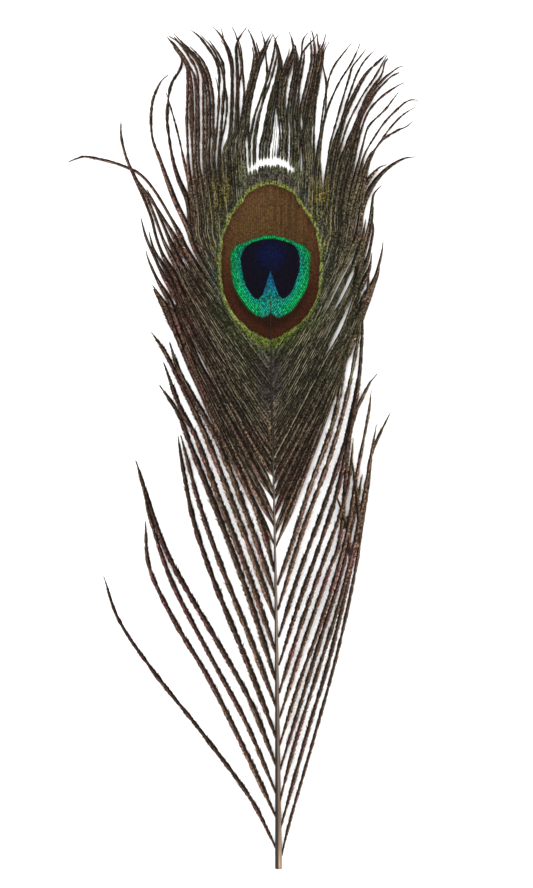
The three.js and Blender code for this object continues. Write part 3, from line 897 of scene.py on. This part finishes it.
def vane_colour(f, tint, hue, past_bronze):
    """Outside the eye: olive near it, copper and pink further out, with the
    half of each barb away from the eye near black and the half towards it lit,
    partly the barbules' own colour and partly painted shade and painted light."""
    grain = f.plus(f.swing(f.noise(620, 2), 2), f.swing(f.noise(2300, 1), 3))
    # Painted light on the half of each barb towards the eye and painted shade on the half away from it,
    # over the barbules' own two tones.
    lit = f.step(f.plus(f.times(f.attribute("side"), 0.7), grain), -0.8, 0.8)
    leftward = f.step(f.dx, 4, -6)
    below = f.math("LESS_THAN", f.dy, 0)
    away = f.length(f.times(f.dx, f.plus(1.35, f.times(leftward, 0.6))),
                    f.times(f.dy, f.plus(0.72, f.times(below, 0.11))))
    away = f.plus(away, f.swing(f.noise(70, 2), 30), f.swing(tint, 26))
    copper = f.step(away, 22, 48)
    pink = f.step(f.noise(110, 2), 0.48, 0.6)
    outer = f.tinted(f.mix(pink, "7a604e", "8f625b"), hue, 0.5, "5c4f40")
    on_tip = f.times(f.attribute("tip"), f.step(f.dy, 0, -10))
    outer = f.tinted(outer, on_tip, 0.6, "6f6039")
    lit_colour = f.mix(copper, f.mix(hue, "655843", "545940"), outer)
    vane = f.mix(lit, f.mix(copper, "1b1a14", "221914"), lit_colour)

    # Red along the left edge, and mauve close to the shaft below the eye.
    red = f.within((f.dx, -14, -26), (f.dy, 8, -14))
    vane = f.mix(red, vane, "ecdce4", "MULTIPLY")
    mauve = f.within((f.wide, 6, 1.5), (f.dy, -16, -22), (f.dy, -56, -40))
    vane = f.tinted(vane, mauve, 0.5, "4b4047")

    # Gold streaks beside the top of the eye, a slate band inside them, and a
    # green bloom round the foot of the eye.
    streaks = f.noise(1900, 1, (1, 0.1, 1))
    gold = f.within((f.wide, 11, 15), (f.wide, 22, 17.5), (f.dy, -8, 4), (f.dy, 31, 24),
                    (streaks, 0.44, 0.56))
    vane = f.tinted(vane, gold, 0.75, "7c7030")
    slate = f.within((past_bronze, 0.2, 0.07), (f.dy, -24, -4), (streaks, 0.6, 0.44))
    vane = f.tinted(vane, slate, 0.75, "344540")
    bloom = f.within((past_bronze, 0.28, 0.05), (f.turn, 0.55, 0.9))
    vane = f.tinted(vane, bloom, 0.45, "4f5c2c")

    # The fringed cap over the eye, up to the bare crescent.
    cap = f.within((f.dy, 21, 25), (f.wide, 11.5, 9), (f.dy, 34, 33))
    return f.tinted(vane, cap, 0.8, f.mix(f.step(past_bronze, 0.1, 0.16), "5a504a", "5c6347"))


def bronze_colour(f, hue, past_bronze):
    """Bronze, redder below, darker at its edge and with dark streaks on its right."""
    above = f.step(f.dy, -14, 20)
    bronze = f.mix(above, "230f06", "563b22")
    bronze = f.tinted(bronze, f.times(f.step(f.far, 16, 9), above), 0.5, "50391c")
    bronze = f.tinted(bronze, f.step(past_bronze, -0.14, -0.02), 0.6, "4e2716")
    bronze = f.tinted(bronze, f.times(hue, above), 0.45, "4a4424")
    dark_streaks = f.step(f.noise(1000, 1, (1, 0.03, 1)), 0.5, 0.58)
    bronze = f.tinted(bronze, f.times(dark_streaks, f.step(f.dx, -4, 3), above), 0.5, "26170e")
    return f.shaded(bronze, f.minus(1, f.times(f.step(past_bronze, -0.06, 0), 0.4)))


def ring_colour(f, depth):
    """The ring: green outside, teal inside, blue at the notch."""
    outward = f.step(depth, 0.05, 0.7)
    ring = f.mix(outward, "0d7563", "0a8143")
    ring = f.mix(f.step(f.turn, 0.5, 0.75), ring, f.mix(outward, "0e8a72", "0b9850"))
    ring = f.tinted(ring, f.step(f.turn, 0.36, 0.2), 0.8, "0b9146")
    notch = f.mix(f.step(depth, 0.05, 0.75), "10487a", "16816b")
    return f.mix(f.step(f.turn, 0.9, 0.95), ring, notch)


def feather_finish():
    """Barbs and barbules: the eye in the middle, olive round it, then copper."""
    f = EyeFinish("Iridescent barbs", 0.6, 0.03)
    tint = f.attribute("tint")
    hue = f.step(f.noise(1500, 1), 0.4, 0.6)
    f.ragged = f.plus(f.swing(tint, RAGGED[0]), f.swing(f.barb_tint, RAGGED[1]))
    slip = f.times(f.within((f.wide, 8.5, 8.8), (f.turn, 0.24, 0.1)), BRONZE_SLIP)
    past_bronze = f.plus(f.beyond(BRONZE_EDGE), slip)
    past_ring = f.beyond(RING_EDGE)
    past_heart = f.beyond(DARK_EDGE, DARK_SHARP)

    # The rim, widest below the eye, and the bronze inside it.
    rim_width = f.plus(0.046, f.times(f.step(f.turn, 0.82, 1), 0.1),
                       f.times(f.step(f.turn, 0.22, 0.08), 0.026))
    rim = f.step(past_bronze, rim_width, f.times(rim_width, 0.3))
    rim_colour = f.mix(f.step(f.turn, 0.7, 0.98), "747f3e", "5e6f28")
    eye = f.mix(rim, vane_colour(f, tint, hue, past_bronze), rim_colour)
    eye = f.mix(f.step(past_bronze, 0.006, -0.006), eye, bronze_colour(f, hue, past_bronze))

    # The ring in its dark outline, and the dark heart, blue in its middle.
    depth = f.math("DIVIDE", past_heart, f.minus(past_heart, past_ring))
    eye = f.mix(f.step(past_ring, 0.02, -0.004), eye, "163f1b")
    eye = f.mix(f.step(past_ring, 0.004, -0.012), eye, ring_colour(f, depth))
    from_blue = f.length(f.dx, f.minus(f.dy, BLUE_ABOVE))
    heart = f.mix(f.step(from_blue, 7, 1), "090508", "030e36")
    eye = f.mix(f.step(past_heart, 0.006, -0.006), eye, heart)

    # Barbules differ from each other in tone, and outside the eye a few carry painted glints.
    in_eye = f.step(past_bronze, 0.05, -0.02)
    painted_glint = f.plus(0.5, f.times(f.math("POWER", tint, 3), 2.2))
    painted_glint = f.times(painted_glint, f.plus(0.6, f.times(f.barb_tint, 0.8)))
    own = f.blend(in_eye, painted_glint, f.plus(0.9, f.times(tint, 0.25)))
    speckling = f.plus(f.blend(in_eye, 6.3, 2.4), f.times(f.step(past_ring, 0, -0.02), 2.4))
    speckle = f.plus(f.swing(f.noise(1750, 1), speckling), 0.86)

    # The fringe and the left side are darker, and the foot of the vane lighter.
    fringe = f.minus(0.92, f.times(f.step(f.dy, 30, 50), 0.2))
    left_side = f.within((f.dx, -11, -26), (f.dy, 35, 10), (f.dy, -70, -42))
    foot = f.within((f.wide, 16, 4), (f.dy, -40, -62))
    light = f.times(own, f.math("MAXIMUM", speckle, 0.2), fringe,
                    f.minus(1, f.times(left_side, 0.36)), f.plus(1, f.times(foot, 0.5)))
    return f.painted(f.shaded(eye, light))


def stem_finish():
    """Barb stems: pale in the vane, dark in the eye and down the loose barbs."""
    f = EyeFinish("Barb stem", 0.5, 0.04)
    streak = f.noise(320, 2, own=f.times(f.barb_tint, 40))
    chosen = f.plus(f.times(f.barb_tint, 0.6), f.swing(streak, 3))
    near = f.within((f.wide, 9, 3), (f.dy, -12, -20), (f.dy, -60, -45))
    paleness = f.times(f.step(chosen, 0.2, 0.9), f.minus(1, f.times(near, 0.65)))
    outward = f.plus(f.wide, f.times(f.far, 0.75), f.times(f.step(f.dy, 5, 30), 30))
    colour = f.mix(f.step(outward, 60, 88), f.mix(paleness, "1d1a14", "817963"), "2c221c")
    in_bronze = f.mix(f.step(f.dy, -14, 20), "24140a", "3d2a18")
    colour = f.mix(f.step(f.beyond(BRONZE_EDGE), 0.03, 0), colour, in_bronze)
    colour = f.mix(f.step(f.beyond(RING_EDGE), 0.01, -0.01), colour, "073a2b")
    colour = f.mix(f.step(f.beyond(DARK_EDGE, DARK_SHARP), 0.006, -0.006), colour, "080a1c")
    return f.painted(colour)


def shaft_finish():
    """The shaft: dark brown down its left, beige on its right, with fine grain."""
    f = Finish("Horny shaft", 0.45, 0.25)
    up = f.place()[1]
    grain = f.noise(900, 3, (1, 0.03, 1))
    bump = f.add("ShaderNodeBump", named={"Strength": 0.25, "Distance": 0.0002, "Height": grain})
    f.give(f.shader.inputs["Normal"], bump.outputs[0])
    light_part = f.mix(f.step(up, 50, 10), "75655a", "ae9073")
    colour = f.mix(f.step(grain, 0.35, 0.7), "594a3e", light_part)
    colour = f.mix(f.step(up, 120, 145), colour, "0f0f0b")
    dark = f.step(f.plus(f.attribute("across"), f.swing(grain, 0.5)), 0.05, -0.25)
    return f.painted(f.mix(dark, colour, "1f1812"))


# ---- pieces --------------------------------------------------------------

def plan_uv(piece):
    """A flat UV map over the piece, seen from above."""
    mesh = piece.data
    for layer in list(mesh.uv_layers):
        mesh.uv_layers.remove(layer)
    places = np.empty(len(mesh.vertices) * 3, np.float32)
    mesh.vertices.foreach_get("co", places)
    plan = places.reshape(-1, 3)[:, :2]
    low = plan.min(0)
    span = float((plan.max(0) - low).max())
    corners = np.empty(len(mesh.loops), np.int32)
    mesh.loops.foreach_get("vertex_index", corners)
    uv = mesh.uv_layers.new(name="OFBake")
    uv.data.foreach_set("uv", ((plan - low) / span * 0.98 + 0.01)[corners].ravel())


def declare(piece):
    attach(piece, "root")
    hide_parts("feather")


def make_shaft(material):
    """A tapering shaft with a flat underside and a shallow groove on top."""
    section = [(-0.36, 0.0), (0.36, 0.0), (0.47, 0.16), (0.5, 0.38), (0.46, 0.62), (0.36, 0.83),
               (0.2, 0.96), (0.06, 1.0), (-0.02, 0.95), (-0.1, 1.0), (-0.24, 0.96), (-0.38, 0.83),
               (-0.47, 0.62), (-0.5, 0.38), (-0.47, 0.16)]
    path = smooth_path(SHAFT_LINE, 1.5)
    t = np.linspace(0, 1, len(path))
    width = SHAFT_END_WIDTH + (SHAFT_BUTT_WIDTH - SHAFT_END_WIDTH) * (1 - t) ** SHAFT_TAPER
    height = SHAFT_END_HEIGHT + (SHAFT_BUTT_HEIGHT - SHAFT_END_HEIGHT) * (1 - t) ** SHAFT_TAPER
    height = height * (1 - SHAFT_SUNK * ease(path[:, 1], *SHAFT_SINKS))
    vertices, across, faces = [], [], []
    ring = len(section)
    for (x, y), w, h in zip(path, width, height):
        for u, v in section:
            vertices.append((x + u * w, y, v * h))
            across.append(u * 2)
    for i in range(len(path) - 1):
        for j in range(ring):
            k = (j + 1) % ring
            faces.append((i * ring + j, i * ring + k, (i + 1) * ring + k, (i + 1) * ring + j))
    faces.append(tuple(range(ring))[::-1])
    faces.append(tuple((len(path) - 1) * ring + j for j in range(ring)))
    mesh = bpy.data.meshes.new("shaft")
    mesh.from_pydata((np.array(vertices) * MM).tolist(), [], faces)
    mesh.attributes.new("across", "FLOAT", "POINT").data.foreach_set("value", across)
    mesh.materials.append(material)
    mesh.polygons.foreach_set("use_smooth", [len(face) == 4 for face in faces])
    return placed("shaft", mesh)


def make_barbules(name, barbs, material, seed, web):
    source = line_mesh(name + "_lines", barbule_runs(barbs))
    return grown(name, source, BARBULES, {
        "Pitch": BARBULE_PITCH * MM,
        "Angle": math.radians(BARBULE_ANGLE),
        "Blade width": BARBULE_WIDTH * MM,
        "Droop": BARBULE_DROOP,
        "Web share": web,
        "Seed": seed,
        "Material": material,
    })


barb_material = feather_finish()
stem_material = stem_finish()
BARBULES = barbule_tree()
STEMS = stem_tree()

left_vane = vane_barbs(LEFT_LOCKS, filled(LEFT_FLANK, 3), -1, LEFT_PARTINGS, LEFT_FREE_REACH)
right_vane = vane_barbs(RIGHT_LOCKS, filled(RIGHT_FLANK, 2), 1, RIGHT_PARTINGS, RIGHT_FREE_REACH,
                        RIGHT_HAIRS)
groups = {
    "loose_barbs_left": loose_barbs(LEFT_LOOSE, -1, LEFT_LOOSE_REACH),
    "loose_barbs_right": loose_barbs(RIGHT_LOOSE, 1, RIGHT_LOOSE_REACH),
    "eye_vane_left": left_vane[:EYE_BARBS],
    "outer_vane_left": left_vane[EYE_BARBS:],
    "eye_vane_right": right_vane[:EYE_BARBS],
    "outer_vane_right": right_vane[EYE_BARBS:],
}
pieces = [make_shaft(shaft_finish())]
for seed, (name, barbs) in enumerate(groups.items()):
    web = LOOSE_WEB if name.startswith("loose") else VANE_WEB
    pieces.append(make_barbules(name, barbs, barb_material, seed * 100, web))
every_barb = [barb for barbs in groups.values() for barb in barbs]
stems = line_mesh("stem_lines", stem_runs(every_barb))
pieces.append(grown("barb_stems", stems, STEMS, {"Sides": STEM_SIDES, "Material": stem_material}))
for piece in pieces:
    plan_uv(piece)
    declare(piece)


# ---- stage ---------------------------------------------------------------

FLOOR_HALF = 3.0
VIEW_HEIGHT = 0.296
VIEW_MIDDLE = (-0.00383, 0.1413)
LIT_MIDDLE = (-0.004, 0.14, 0)


def make_stage():
    mesh = bpy.data.meshes.new("floor")
    corners = [(x * FLOOR_HALF, y * FLOOR_HALF, 0) for x, y in ((-1, -1), (1, -1), (1, 1), (-1, 1))]
    mesh.from_pydata(corners, [], [(0, 1, 2, 3)])
    floor = placed("floor", mesh)
    paper = bpy.data.materials.new("White paper")
    paper.use_nodes = True
    shader = paper.node_tree.nodes["Principled BSDF"]
    shader.inputs["Base Color"].default_value = (0.98, 0.98, 0.98, 1)
    shader.inputs["Roughness"].default_value = 0.9
    mesh.materials.append(paper)


def make_light(name, place, target, size, power):
    data = bpy.data.lights.new(name, "AREA")
    data.shape = "DISK"
    data.size = size
    data.energy = power
    light = placed(name, data)
    light.location = place
    direction = Vector(target) - Vector(place)
    light.rotation_euler = direction.to_track_quat("-Z", "Y").to_euler()


def make_world(strength):
    world = bpy.data.worlds.new("Studio")
    world.use_nodes = True
    sky = world.node_tree.nodes["Background"].inputs
    sky["Color"].default_value = (1, 1, 1, 1)
    sky["Strength"].default_value = strength
    bpy.context.scene.world = world


def make_camera():
    """Straight down on the feather, its middle a little left of the shaft."""
    data = bpy.data.cameras.new("camera")
    data.sensor_width = 36
    data.lens = 85
    camera = placed("camera", data)
    distance = VIEW_HEIGHT * data.lens / data.sensor_width
    camera.location = (*VIEW_MIDDLE, distance)
    bpy.context.scene.camera = camera


make_stage()
make_light("overhead", (-0.25, 0.55, 0.9), LIT_MIDDLE, 0.9, 8)
make_light("fill", (0.6, -0.1, 0.8), LIT_MIDDLE, 1.1, 4.7)
make_world(1.13)
make_camera()
bpy.context.scene.view_settings.view_transform = "Standard"
